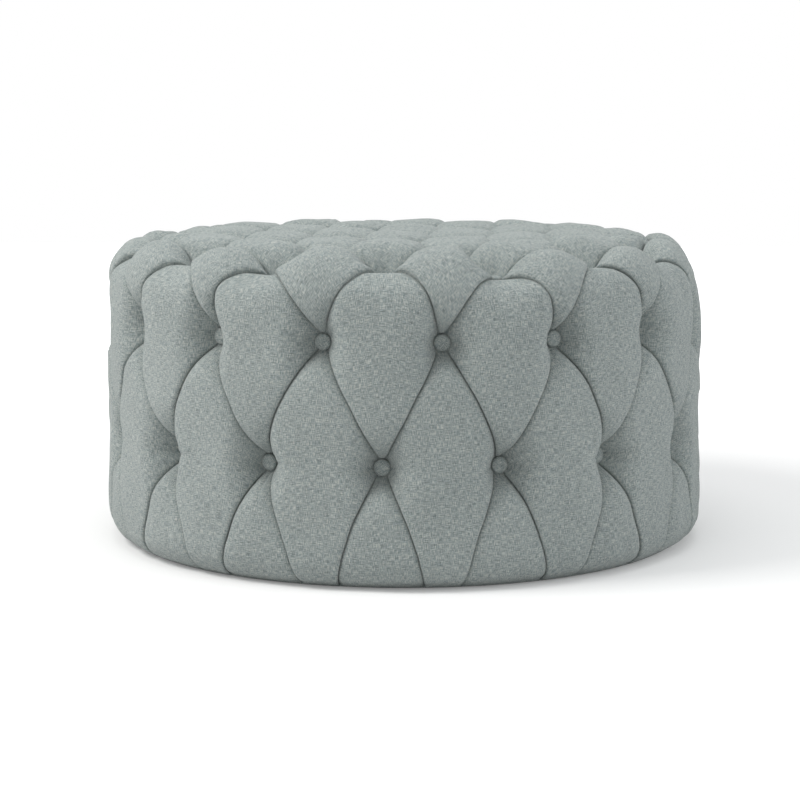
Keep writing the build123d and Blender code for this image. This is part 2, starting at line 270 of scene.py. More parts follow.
# How the photographed front lies off the even spacing, by rim tuft: degrees that the pleats to its
# left and right lean, and metres that the cloth dips between them. The others are random.
rimOffsets = {0: (0.35, 1.1, 0.007), 15: (-1.5, -1.3, 0.016), 1: (1.2, 0.6, 0.023), 14: (0.6, 0.6, 0.007),
              2: (-0.7, -0.7, 0.007)}
rimLook = {
    "lean": 1.3,                # degrees to either side, at random
    "dip": (0.006, 0.016),
    "dipSpan": 6.0,             # degrees
    "dipStart": (0.375, 0.405),         # by reach, where the dip begins and where it ends
    "dipEnd": (0.440, 0.515),
}
for k in range(drum["tuftsRound"]):
    if k not in rimOffsets:
        rimOffsets[k] = (*pleatDice.uniform(-rimLook["lean"], rimLook["lean"], 2),
                         pleatDice.uniform(*rimLook["dip"]))


# The way of a pleat that bows out between two chart points.
def bowed(a, b, bow):
    normal = np.array([-(b - a)[1], (b - a)[0]])
    control = (a + b) / 2 + normal * bow
    return lambda t: bezier((a, control, b), t)


# The pleat between two tufts, made once, and whether it runs from the first one asked for.
def pleat(first, last):
    key = tuple(sorted((str(first), str(last))))
    if key not in pleats:
        a, b = tufts[first], tufts[last]
        curve = bowed(a, b, pleatDice.uniform(-pleatLook["bowShare"], pleatLook["bowShare"]))
        kinds = {first[0], last[0]}
        over = {("lower", "upper"): "side", ("rim", "top"): "rim"}.get(tuple(sorted(kinds)))
        depth = pleatLook["topPull"] if "top" in kinds else 1.0
        pleats[key] = (str(first), Pleat(a, b, curve, over=over, depth=depth))
    known, made = pleats[key]
    return made, known == str(first)


# From a rim tuft outwards over the rim, then sideways and down to a tuft of the upper row. The
# patches beside it go the other way.
def petalPleat(rimIndex, upperIndex):
    key = ("petal", rimIndex, upperIndex)
    if key not in pleats:
        rim, upper = ("rim", rimIndex), ("upper", upperIndex)
        rimAzimuth = tuftStep * rimIndex
        turn = (tuftStep / 2 + tuftStep * upperIndex - rimAzimuth + 180) % 360 - 180
        span = norm(tufts[upper]) - drum["rimRow"]
        shift = rimOffsets[rimIndex][0 if turn < 0 else 1]
        sways = pleatDice.uniform(-pleatLook["petalSway"], pleatLook["petalSway"], 2)
        bends = [(0, 0)]
        bends += [np.add(bend, (sway, 0)) for bend, sway in zip(pleatLook["petalShares"], sways)]
        bends += [(1, 1)]

        def curve(t):
            shares = bezier(bends, t)
            downward = np.clip(shares[:, 1], 0, 1) ** pleatLook["petalLeanShape"]
            lean = shift * np.sin(math.pi * downward) ** 2
            azimuths = rimAzimuth + turn * shares[:, 0] + lean
            return np.array([chartPoint(a, drum["rimRow"] + span * s)
                             for a, s in zip(azimuths, shares[:, 1])])

        pull = pleatDice.uniform(*pleatLook["petalPull"])
        pleats[key] = Pleat(tufts[rim], tufts[upper], curve, over="rim", depth=pull)
    return pleats[key], False


def hemPleat(index, spread):
    key = ("hem", index, spread > 0)
    if key not in pleats:
        a = tufts["lower", index]
        end = chartPoint(tuftStep * index + spread, hemReach)
        steady, sway = pleatLook["hemBowShares"]
        bow = steady * (1 if spread > 0 else -1) + pleatDice.uniform(-sway, sway)
        pleats[key] = Pleat(a, end, bowed(a, end, bow), fadeEnd=True, over="skirt")
    return pleats[key], True


# Where the mesh rows of a patch lie: close together at its edges.
share = np.linspace(0, 1, tufting["rows"] + 1)
share -= tufting["crowding"] * (np.sin(2 * math.pi * share) / (2 * math.pi))
share[1] = tufting["edgeShare"]
share[-2] = 1 - tufting["edgeShare"]


# The curves that bound a patch: along a pleat one way or the other, straight, or all in one point.
def walk(pleatWay):
    made, forward = pleatWay
    return lambda t: made.curve(t if forward else 1 - t)


def straight(a, b):
    return lambda t: a + (b - a) * t[:, None]


def point(a):
    return lambda t: a + np.zeros((len(t), 2))


def hemArc(start, end):
    return lambda t: np.array([chartPoint(start + (end - start) * x, hemReach) for x in t])


# A patch between four edge curves, two across and two along, spread evenly between them.
def coons(topEdge, bottomEdge, leftEdge, rightEdge):
    top, bottom, left, right = topEdge(share), bottomEdge(share), leftEdge(share), rightEdge(share)
    across, along = share[None, :, None], share[:, None, None]
    ruledAlong = (1 - along) * top[None] + along * bottom[None]
    ruledAcross = (1 - across) * left[:, None] + across * right[:, None]
    corners = ((1 - across) * (1 - along) * top[0] + across * (1 - along) * top[-1]
               + (1 - across) * along * bottom[0] + across * along * bottom[-1])
    return ruledAlong + ruledAcross - corners


# The puffs: each has its patches, the pleats round it, its tufts, and whether its cloth goes round
# the drum or lies along the top.
cells = []


def addCell(name, patches, edges, corners, wrap):
    cells.append({"name": name, "patches": patches, "pleats": [edge[0] for edge in edges],
                  "tufts": corners, "wrap": wrap})


def quadCell(name, edges, corners, wrap):
    ab, bc, ad, dc = edges
    addCell(name, [coons(walk(ad), walk(bc), walk(ab), walk(dc))], edges, corners, wrap)


def fanCell(name, apex, edges, corners, wrap):
    ab, ac, bc = edges
    addCell(name, [coons(point(tufts[apex]), walk(bc), walk(ab), walk(ac))], edges, corners, wrap)


topSpan = range(-3, 4)
for column in topSpan:
    for row in topSpan:
        places = [(column, row - 1), (column + 1, row), (column, row + 1), (column - 1, row)]
        a, b, c, d = [latticeTuft(p) for p in places]
        if all((a, b, c, d)):
            quadCell("top", (pleat(a, b), pleat(b, c), pleat(a, d), pleat(d, c)), (a, b, c, d), False)
for side in (1, -1):
    for end in (1, -1):
        a, b, c = [latticeTuft(p) for p in ((3 * side, end), (4 * side, 2 * end), (4 * side, 0))]
        fanCell("corner", a, (pleat(a, b), pleat(a, c), pleat(b, c)), (a, b, c), False)

spread = drum["hemSpread"]
for k in range(drum["tuftsRound"]):
    after, before = (k + 1) % drum["tuftsRound"], (k - 1) % drum["tuftsRound"]
    low, high, rim = ("lower", k), ("upper", k), ("rim", k)
    rimLeft, rimRight = petalPleat(k, before), petalPleat(k, k)
    edges = (pleat(low, ("upper", before)), rimLeft, pleat(low, high), rimRight)
    quadCell("side", edges, (low, ("upper", before), rim, high), True)
    here, then = rimPlaces[k], rimPlaces[after]
    if 0 in (here[0], then[0]):
        inner = latticeTuft(((here[0] + then[0]) // 2, 3 if here[1] > 0 else -3))
        edges = (rimRight, pleat(rim, inner), petalPleat(after, k), pleat(("rim", after), inner))
        quadCell("rim", edges, (high, rim, inner, ("rim", after)), True)
    else:
        edges = (rimRight, petalPleat(after, k), pleat(rim, ("rim", after)))
        fanCell("rim", high, edges, (high, rim, ("rim", after)), True)
    hemBefore, hemAfter, hemNext = hemPleat(k, -spread), hemPleat(k, spread), hemPleat(after, -spread)
    azimuth = tuftStep * k
    grid = coons(point(tufts[low]), hemArc(azimuth - spread, azimuth + spread),
                 walk(hemBefore), walk(hemAfter))
    addCell("hem", [grid], [hemBefore, hemAfter], (low,), True)
    nextLow = ("lower", after)
    toLow, toNext = pleat(high, low), pleat(high, nextLow)
    between = straight(tufts[low], tufts[nextLow])
    upperPart = coons(point(tufts[high]), between, walk(toLow), walk(toNext))
    lowerPart = coons(between, hemArc(azimuth + spread, azimuth + tuftStep - spread),
                      walk(hemAfter), walk(hemNext))
    addCell("skirt", [upperPart, lowerPart], [toLow, toNext, hemAfter, hemNext], (high, low, nextLow), True)
    for start, end in ((-spread, spread), (spread, tuftStep - spread)):
        rows = [[chartPoint(azimuth + start + (end - start) * s, hemReach + hemLook["turnIn"] * step)
                 for s in share] for step in hemLook["stepShares"]]
        addCell("turnedIn", [np.array(rows)], [], (), True)
print("puffs laid out:", len(cells))

# Wrinkles that fan out from every tuft: which way each goes, how strong it is, how far it reaches
wrinkleLook = {
    "perTuft": 9,
    "strength": (0.3, 1.0),
    "strengthShape": 1.5,
    "reach": (0.020, 0.044),
    "depth": 0.0062,
    "width": 0.0013,            # at the tuft, and how much wider for each metre away
    "widening": 0.045,
    "start": 0.011,             # from a tuft's middle
    "startSpan": 0.008,
}
anyWay = np.array([0.31, 0.17, 0.93])       # one that no tuft faces
tuftPlace = {name: lift(spot[None], np.zeros(1))[0] for name, spot in tufts.items()}
tuftDice = np.random.default_rng(tufting["seed"] + 1)
tuftWrinkles = {
    name: [(tuftDice.uniform(0, 2 * math.pi),
            tuftDice.uniform(*wrinkleLook["strength"]) ** wrinkleLook["strengthShape"],
            tuftDice.uniform(*wrinkleLook["reach"])) for n in range(wrinkleLook["perTuft"])]
    for name in tufts
}


# How far each point is from a bent line, where along it, and the way to it.
def lineDistance(points, line):
    best = np.full(len(points), np.inf)
    way = np.zeros(len(points))
    toLine = np.zeros_like(points)
    for n in range(len(line) - 1):
        a, b = line[n], line[n + 1]
        t = np.clip((points - a) @ (b - a) / max((b - a) @ (b - a), tiny), 0, 1)
        across = a + t[:, None] * (b - a) - points
        gap = norm(across, axis=1)
        nearer = gap < best
        best = np.where(nearer, gap, best)
        way = np.where(nearer, (n + t) / (len(line) - 1), way)
        toLine = np.where(nearer[:, None], across, toLine)
    return best, way, toLine / np.maximum(best, tiny)[:, None]


# How much of the way down to the tufts' bottoms each point is, and their depth there.
def pitShare(spots, names, toPleat):
    left = np.ones(len(spots))
    weight = np.full(len(spots), tiny)
    depth = np.full(len(spots), tiny * drum["tuftDepth"])
    for name in names:
        gap = norm(spots - tuftPlace[name], axis=1)
        full, (narrow, wide) = drum["tuftDepth"], tufting["pitReach"]
        if isRim(name):
            full = drum["rimTuftDepth"]
            inwards = norm(tuftPlace[name][:2]) - norm(spots[:, :2], axis=1)
            narrow, wide = (np.interp(inwards, tufting["tongueTurn"], (tufting["tonguePit"], inner))
                            for inner in tufting["rimPitReach"])
        between = np.clip(toPleat / np.maximum(gap, tufting["pitHeart"]) * tufting["pitWedge"], 0, 1)
        reached = wide + (narrow - wide) * between * (2 - between)
        fall = np.exp(-(np.maximum(gap - tufting["pitFloor"], 0) / reached) ** tufting["pitPower"])
        fall = np.maximum(fall - tufting["pitTail"], 0) / (1 - tufting["pitTail"])
        left *= 1 - fall
        weight += fall
        depth += fall * full
    return 1 - left, depth / weight


# How deep the wrinkles of these tufts lie at each point.
def wrinkleDepth(spots, names):
    total = np.zeros(len(spots))
    for name in names:
        away = spots - tuftPlace[name]
        normal = outward(tufts[name][None])[0]
        side = np.cross(normal, anyWay)
        side /= norm(side)
        other = np.cross(normal, side)
        x, y = away @ side, away @ other
        radius = np.hypot(x, y)
        for turn, strength, length in tuftWrinkles[name]:
            along = x * math.cos(turn) + y * math.sin(turn)
            across = -x * math.sin(turn) + y * math.cos(turn)
            width = wrinkleLook["width"] + wrinkleLook["widening"] * np.maximum(along, 0)
            shape = np.exp(-(across / width) ** 2) * np.exp(-(radius / length) ** 2)
            started = np.clip((radius - wrinkleLook["start"]) / wrinkleLook["startSpan"], 0, 1)
            total += wrinkleLook["depth"] * strength * shape * started * (along > 0)
    return total


# Small unevenness of the stuffing: waves through space, which die away towards the floor
lumpLook = {"depth": 0.0012, "waves": (22, 30, 38, 48, 60, 75), "perWave": 3, "fadeHeight": 0.04}
lumpDice = np.random.default_rng(tufting["seed"] + 2)
lumpWaves = [(lumpDice.normal(size=3) * size, lumpDice.uniform(0, 2 * math.pi))
             for size in lumpLook["waves"] for n in range(lumpLook["perWave"])]


def lumps(spots):
    waves = sum(np.sin(spots @ wave + lag) for wave, lag in lumpWaves) / math.sqrt(len(lumpWaves) / 2)
    return lumpLook["depth"] * waves * np.clip(spots[:, 2] / lumpLook["fadeHeight"], 0, 1)


# From 0 to 1 over a span, gently at both ends.
def easedIn(value, span):
    t = np.clip((value - span[0]) / (span[1] - span[0]), 0, 1)
    return t * t * (3 - 2 * t)


# How far the cloth dips over the rim between the tops of two side puffs.
def rimDip(flat):
    reach = norm(flat, axis=1)
    azimuth = np.degrees(np.arctan2(flat[:, 0], -flat[:, 1]))
    along = easedIn(reach, rimLook["dipStart"]) * (1 - easedIn(reach, rimLook["dipEnd"]))
    total = np.zeros(len(flat))
    for k, (left, right, down) in rimOffsets.items():
        away = (azimuth - tuftStep * k - (left + right) / 2 + 180) % 360 - 180
        total += down * np.exp(-(away / rimLook["dipSpan"]) ** 2) * along
    return total


def offFloor(places, grid):
    places[:, 2] = np.maximum(places[:, 2], hemLook["clear"])
    return places.reshape(grid.shape[0], grid.shape[1], 3)


# The hem under the drum, a little gathered.
def turnedIn(grid):
    flat = grid.reshape(-1, 2)
    azimuth = np.arctan2(flat[:, 0], -flat[:, 1])
    inward = np.clip((norm(flat, axis=1) - hemReach) / hemLook["turnIn"], 0, 1)
    first, second, third = (np.sin(azimuth * turns + lag) for turns, lag in hemLook["puckerWaves"])
    gathered = np.clip(first * second + 0.5 * third, *hemLook["puckerLimits"])
    gathered *= -np.sin(math.pi * inward ** hemLook["puckerShape"])
    return offFloor(lift(flat, hemLook["pucker"] * gathered), grid)


# What the pleats round a puff do to its points: how clear of all of them each point is, how deep
# it is tucked and how far it is pushed. Of two pleats' tucks the deeper one counts.
def pleated(cell, distances, middle, pit):
    nearness, tuck, push = np.zeros(len(pit)), np.zeros(len(pit)), np.zeros((len(pit), 3))
    for made, (gap, way, toLine) in zip(cell["pleats"], distances):
        fade = np.clip((1 - way) * pleatLook["hemFade"], 0, 1) if made.fadeEnd else np.ones(len(pit))
        nearness += fade / np.maximum(gap, tufting["leastGap"]) ** 3
        ahead = made.end - made.start
        left = (ahead[0] * (middle - made.start)[1] - ahead[1] * (middle - made.start)[0]) > 0
        over = cell["name"] == made.over if made.over else left == made.overLeft
        ways, pushes, depths = np.array(pleatLook["overCut" if over else "underCut"]).T
        kept = pleatLook["hemLeast"] + (1 - pleatLook["hemLeast"]) * fade
        strength = made.strength(way) * kept * (1 - pit) ** tufting["pitPleatPower"]
        deeper = np.interp(gap, ways, depths) * strength
        tuck = np.where(np.abs(deeper) > np.abs(tuck), deeper, tuck)
        push += toLine * (np.interp(gap, ways, pushes) * strength)[:, None]
    return (nearness + tiny) ** (-1 / 3), tuck, push


# The puff's points on the drum, fallen off to its pleats, tucked there and drawn in at its tufts.
def shapeCell(cell):
    if cell["name"] == "turnedIn":
        return [turnedIn(grid) for grid in cell["patches"]]
    t = np.linspace(0, 1, tufting["lineSteps"] + 1)
    lines = [lift(made.curve(t), np.zeros(len(t))) for made in cell["pleats"]]
    reachSteps, *shapes = np.array(tufting["heights"]).T
    swellHeights, swells = np.array(tufting["swelling"]).T
    shaped = []
    for grid in cell["patches"]:
        flat = grid.reshape(-1, 2)
        reach = norm(flat, axis=1)
        spots = lift(flat, np.zeros(len(flat)))
        valley, rise, crown, steepRise = (np.interp(reach, reachSteps, steps) for steps in shapes)
        distances = [lineDistance(spots, line) for line in lines]
        pit, pitBottom = pitShare(spots, cell["tufts"], np.min([d[0] for d in distances], axis=0))
        clear, tuck, push = pleated(cell, distances, flat.mean(0), pit)
        steep = np.sqrt(1 - (1 - np.clip(clear / steepRise, 0, 1)) ** 2)
        gentle = 1 - (1 - np.clip(clear / rise, 0, 1)) ** tufting["riseShape"]
        fullness = tufting["steepShare"] * steep + (1 - tufting["steepShare"]) * gentle
        if cell["name"] == "side":
            fullness *= easedIn(reach, tufting["tongueSpan"])
        low, high = tufting["shoulderSpan"]
        turning = np.sin(math.pi * np.clip((reach - low) / (high - low), 0, 1)) ** 2
        rightwards = flat[:, 0] / np.maximum(reach, tiny)
        shoulder = tufting["shoulder"] + tufting["shoulderLean"] * rightwards
        bulge = np.where(reach > sideStart, np.interp(spots[:, 2], swellHeights, swells), 0)
        bulge += crown * fullness
        ease = valley * (1 - fullness) - bulge + rimDip(flat) + (lumps(spots) + shoulder * turning) * fullness
        depth = ease * (1 - pit) + pitBottom * pit + tuck + wrinkleDepth(spots, cell["tufts"])
        shaped.append(offFloor(lift(flat, depth) + push, grid))
    return shaped


# How far along a patch's rows or columns each point lies, from the patch's middle.
def runLengths(grid, axis):
    steps = norm(np.diff(grid, axis=axis), axis=2)
    run = np.concatenate([np.zeros_like(steps.take([0], axis)), np.cumsum(steps, axis)], axis)
    return run - run.take([run.shape[axis] // 2], axis)


# The cloth's own coordinates: level and upright on the side, and turned by 45 degrees on the rim
# and the top, where the weave lies along the pleats.
def clothMap(cell, grid, chart):
    rows, columns = grid.shape[0] // 2, grid.shape[1] // 2
    middle = chart[rows, columns]
    down, aside = tufting["mapSteps"]
    acrossWay = grid[rows, columns + aside] - grid[rows, columns - aside]
    alongWay = grid[rows + down, columns] - grid[rows - down, columns]
    if cell["wrap"]:
        angle = math.atan2(middle[0], -middle[1])
        level = np.array([math.cos(angle), math.sin(angle), 0])
        normal = outward(middle[None])[0]
        upright = np.cross(normal, level)
        start = np.array([angle * drum["radius"], -norm(middle)])
    else:
        level, upright = np.array([1.0, 0, 0]), np.array([0, 1.0, 0])
        start = middle
    if cell["name"] in ("rim", "top", "corner"):
        level, upright = (level + upright) / math.sqrt(2), (upright - level) / math.sqrt(2)
    ways = []
    for way in (acrossWay, alongWay):
        flat = np.array([way @ level, way @ upright])
        ways.append(flat / norm(flat))
    across, along = runLengths(grid, 1), runLengths(grid, 0)
    return start + across[..., None] * ways[0] + along[..., None] * ways[1]


def linked(name, mesh):
    made = bpy.data.objects.new(name, mesh)
    bpy.context.scene.collection.objects.link(made)
    return made


# One mesh of all the puffs. Points at the same place of the chart are one point of the cloth.
def buildCover():
    known, places = {}, []
    faces, faceCloth = [], []
    for cell in cells:
        for grid, chart in zip(shapeCell(cell), cell["patches"]):
            rows, columns = grid.shape[:2]
            cloth = clothMap(cell, grid, chart).reshape(-1, 2)
            keys = np.rint(chart.reshape(-1, 2) * tufting["weldSteps"]).astype(int)
            index = []
            for key, place in zip(map(tuple, keys), grid.reshape(-1, 3)):
                index.append(known.setdefault(key, len(places)))
                if index[-1] == len(places):
                    places.append([])
                places[index[-1]].append(place)
            for i in range(rows - 1):
                for j in range(columns - 1):
                    a = i * columns + j
                    corners = {}
                    for n in (a, a + 1, a + columns + 1, a + columns):
                        corners.setdefault(index[n], cloth[n])
                    if len(corners) > 2:
                        faces.append(list(corners))
                        faceCloth.extend(corners.values())
    mesh = bpy.data.meshes.new("coverMesh")
    mesh.from_pydata([tuple(sum(same) / len(same)) for same in places], [], faces)
    layer = mesh.uv_layers.new(name="cloth")
    layer.data.foreach_set("uv", np.array(faceCloth, np.float32).ravel())
    cover = linked("linenCover", mesh)
    bm = bmesh.new()
    bm.from_mesh(mesh)
    bmesh.ops.recalc_face_normals(bm, faces=bm.faces)
    for face in bm.faces:
        face.smooth = True
    openEdges = sum(1 for edge in bm.edges if edge.is_boundary)
    print("cover:", len(bm.verts), "points,", len(bm.faces), "faces, open edges", openEdges)
    bm.to_mesh(mesh)
    bm.free()
    return cover


cover = buildCover()
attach(cover, "root")
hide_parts("tufted_cover")
print("cover done")


# Covered buttons
buttonLook = {
    "radius": 0.0115,
    "height": 0.0065,
    "edgeHeight": 0.0034,
    "sides": 24,
    "seat": 0.0003,             # how far it stands off the tuft's bottom
    # the crown's steps: how far in from the one before, and the share of the rise that they climb
    "crownSteps": ((0.0006, 10 / 30), (0.0016, 10 / 30), (0.0028, 7 / 30), (0.0032, 3 / 30)),
    "wrapShare": 0.5,           # how much of the edge's height the cloth takes to wrap it
}
facingShare = 0.9       # a face looks along an axis where its normal has this much of it


def selectFaces(piece, wanted):
    bpy.ops.mesh.select_all(action="DESELECT")
    bm = bmesh.from_edit_mesh(piece.data)
    for face in bm.faces:
        face.select_set(wanted(face))
    bmesh.update_edit_mesh(piece.data)


def joined(pieces, name):
    bpy.ops.object.select_all(action="DESELECT")
    for piece in pieces:
        piece.select_set(True)
    bpy.context.view_layer.objects.active = pieces[0]
    bpy.ops.object.join()
    whole = bpy.context.object
    whole.name = name
    return whole


def firstButton():
    bpy.ops.object.select_all(action="DESELECT")
    bpy.ops.mesh.primitive_cylinder_add(
        vertices=buttonLook["sides"], radius=buttonLook["radius"], depth=buttonLook["edgeHeight"],
        location=(0, 0, buttonLook["seat"] + buttonLook["edgeHeight"] / 2))
    button = bpy.context.object
    bpy.ops.object.mode_set(mode="EDIT")
    selectFaces(button, lambda face: face.normal.z > facingShare)
    rise = buttonLook["height"] - buttonLook["edgeHeight"]
    for inset, riseShare in buttonLook["crownSteps"]:
        bpy.ops.mesh.inset(thickness=inset, depth=0)
        bpy.ops.transform.translate(value=(0, 0, riseShare * rise))
    bpy.ops.object.mode_set(mode="OBJECT")
    bpy.ops.object.transform_apply(location=True, rotation=True, scale=True)
    return button


buttonDice = np.random.default_rng(tufting["seed"] + 3)


# A copy for each tuft of a row, turned to face the way its tuft does, with its cloth turned at random.
def placeButtons(row, names):
    copies = []
    for name in names:
        spot = tufts[name]
        depth = drum["rimTuftDepth"] if isRim(name) else drum["tuftDepth"]
        normal = outward(spot[None])[0]
        heading = spot / norm(spot) if norm(spot) > 0 else np.array([0, -1.0])
        xAxis = Vector((-heading[1], heading[0], 0))
        zAxis = Vector(normal)
        yAxis = zAxis.cross(xAxis)
        turn = Matrix((xAxis, yAxis, zAxis)).transposed().to_4x4()
        turn.translation = Vector(lift(spot[None], np.array([depth]))[0])
        copyMesh = patternButton.data.copy()
        grain, slide = buttonDice.uniform(0, math.pi), buttonDice.uniform(-1, 1, 2)
        for corner in copyMesh.uv_layers["cloth"].data:
            u, v = corner.uv
            corner.uv = (u * math.cos(grain) - v * math.sin(grain) + slide[0],
                         u * math.sin(grain) + v * math.cos(grain) + slide[1])
        copyMesh.transform(turn)
        copies.append(linked(row, copyMesh))
    buttons = joined(copies, row + "Buttons")
    bpy.ops.object.shade_smooth()
    return buttons


# Cloth coordinates straight across a button, wrapped down its edge.
def buttonCloth(mesh):
    layer = mesh.uv_layers.new(name="cloth")
    for loop in mesh.loops:
        x, y, z = mesh.vertices[loop.vertex_index].co
        wrap = 1 + max(buttonLook["height"] - z, 0) / buttonLook["radius"] * buttonLook["wrapShare"]
        layer.data[loop.index].uv = (x * wrap, y * wrap)


patternButton = firstButton()
for old in list(patternButton.data.uv_layers):
    patternButton.data.uv_layers.remove(old)
buttonCloth(patternButton.data)
buttonPieces = []
for row in ("lower", "upper", "rim", "top"):
    made = placeButtons(row, [name for name in tufts if name[0] == row])
    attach(made, "root")
    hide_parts(row + "_buttons")
    buttonPieces.append(made)
bpy.data.objects.remove(patternButton)
print("buttons done")


# Staples through the turned-in hem into the base ring. One is modelled, the others are its copies.
stapleLook = {
    "crown": 0.0104,
    "wire": 0.0011,
    "thick": 0.0006,
    "leg": 0.0003,
    "edge": 0.00012,
    "edgeSegments": 2,
    "smoothAngle": 40,
    "count": 96,
    "fromMiddle": 0.3860,
    "height": 0.0034,           # the cloth's underside, into which the crown is pressed
    # how far each is off its place: share of a step round, metres outwards, radians of twist
    "strayStep": 0.18,
    "strayOut": 0.0012,
    "strayTwist": 0.22,
}


def firstStaple():
    look = stapleLook
    bpy.ops.object.select_all(action="DESELECT")
    bpy.ops.mesh.primitive_cube_add(size=1, location=(0, 0, 0))
    staple = bpy.context.object
    bpy.ops.object.mode_set(mode="EDIT")
    bpy.ops.mesh.select_all(action="SELECT")
    bpy.ops.transform.resize(value=(look["crown"] - 2 * look["wire"], look["wire"], look["thick"]))
    for way in (1, -1):
        selectFaces(staple, lambda face: face.normal.x * way > facingShare)
        bpy.ops.mesh.extrude_region_move(TRANSFORM_OT_translate={"value": (look["wire"] * way, 0, 0)})
    cornerStart = look["crown"] / 2 - look["wire"]
    selectFaces(staple, lambda face: (face.normal.z > facingShare
                                      and abs(face.calc_center_median().x) > cornerStart))
    bpy.ops.mesh.extrude_region_move(TRANSFORM_OT_translate={"value": (0, 0, look["leg"])})
    bpy.ops.object.mode_set(mode="OBJECT")
    bevel = staple.modifiers.new("edges", "BEVEL")
    bevel.width = look["edge"]
    bevel.segments = look["edgeSegments"]
    bpy.ops.object.modifier_apply(modifier=bevel.name)
    return staple


stapleDice = np.random.default_rng(tufting["seed"] + 4)


def stray(name):
    return stapleDice.uniform(-stapleLook[name], stapleLook[name])


patternStaple = firstStaple()
stapleCopies = []
for n in range(stapleLook["count"]):
    spin = 2 * math.pi * (n + stray("strayStep")) / stapleLook["count"]
    out = stapleLook["fromMiddle"] + stray("strayOut")
    twist = Matrix.Rotation(spin + math.pi / 2 + stray("strayTwist"), 4, "Z")
    place = Matrix.Translation((out * math.cos(spin), out * math.sin(spin), stapleLook["height"]))
    copyMesh = patternStaple.data.copy()
    copyMesh.transform(place @ twist)
    stapleCopies.append(linked("staple", copyMesh))
bpy.data.objects.remove(patternStaple)
staples = joined(stapleCopies, "hemStaples")
bpy.ops.object.shade_smooth_by_angle(angle=math.radians(stapleLook["smoothAngle"]))
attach(staples, "root")
print("staples done")


# Materials
def newMaterial(name):
    made = bpy.data.materials.new(name)
    made.use_nodes = True
    tree = made.node_tree
    tree.nodes.clear()
    output = tree.nodes.new("ShaderNodeOutputMaterial")
    shader = tree.nodes.new("ShaderNodeBsdfPrincipled")
    tree.links.new(shader.outputs["BSDF"], output.inputs["Surface"])
    return made, tree, shader


# A node with its settings, and its inputs linked from sockets or set to values.
def node(tree, kind, inputs=None, **settings):
    made = tree.nodes.new("ShaderNode" + kind)
    for name, value in settings.items():
        setattr(made, name, value)
    for name, value in (inputs or {}).items():
        if isinstance(value, bpy.types.NodeSocket):
            tree.links.new(value, made.inputs[name])
        else:
            made.inputs[name].default_value = value
    return made


def sums(tree, operation, a, b=0.0):
    return node(tree, "Math", {0: a, 1: b}, operation=operation).outputs[0]


def scaled(tree, value, factor):
    return sums(tree, "MULTIPLY", value, factor)


def noise(tree, place, scale, **inputs):
    return node(tree, "TexNoise", {"Vector": place, "Scale": scale, **inputs}).outputs["Fac"]


# A noise on coordinates stretched along one way.
def stretched(tree, place, scales, **inputs):
    mapping = node(tree, "Mapping", {"Vector": place, "Scale": scales})
    return noise(tree, mapping.outputs[0], 1.0, **inputs)


def ramp(tree, value, *stops):
    made = node(tree, "ValToRGB", {"Fac": value})
    while len(made.color_ramp.elements) < len(stops):
        made.color_ramp.elements.new(0.5)
    for element, (place, color) in zip(made.color_ramp.elements, stops):
        element.position = place
        element.color = (*color, 1)
    return made.outputs["Color"]


def mixed(tree, share, a, b, blend="MIX"):
    b = (*b, 1) if isinstance(b, tuple) else b
    return node(tree, "Mix", {0: share, 6: a, 7: b}, data_type="RGBA", blend_type=blend).outputs[2]


def bumped(tree, shader, height, distance, strength):
    bump = node(tree, "Bump", {"Height": height, "Distance": distance, "Strength": strength})
    tree.links.new(bump.outputs[0], shader.inputs["Normal"])


def paint(tree, shader, color, surface):
    tree.links.new(color, shader.inputs["Base Color"])
    for name, value in surface.items():
        shader.inputs[name].default_value = value


linenLook = {
    "threads": ((0.395, (0.138, 0.163, 0.163)), (0.50, (0.276, 0.316, 0.310)),
                (0.615, (0.520, 0.560, 0.545))),
    "warmth": ((0.35, (0.94, 1.0, 1.03)), (0.65, (1.06, 1.0, 0.96))),
    "threadAcross": 1350.0,     # thread thickness and slub length, as waves to the metre
    "threadAlong": 105.0,
    "warpShares": (1.1, 1.2),   # how much finer and shorter the warp's are
    "fleckShare": 0.9,
    "clouds": 9.0,
    "threadShade": 0.46,        # shares of each pattern in the shade of the cloth
    "fleckShade": 0.08,
    "cloudShade": 0.05,
    "weave": 1250.0,            # threads to the metre
    "weaveRelief": 0.45,
    "threadRelief": 1.6,
    "relief": 0.00045,
    "reliefStrength": 0.85,
    "surface": {"Roughness": 0.93, "Sheen Weight": 0.18, "Sheen Roughness": 0.55,
                "Specular IOR Level": 0.25},
}


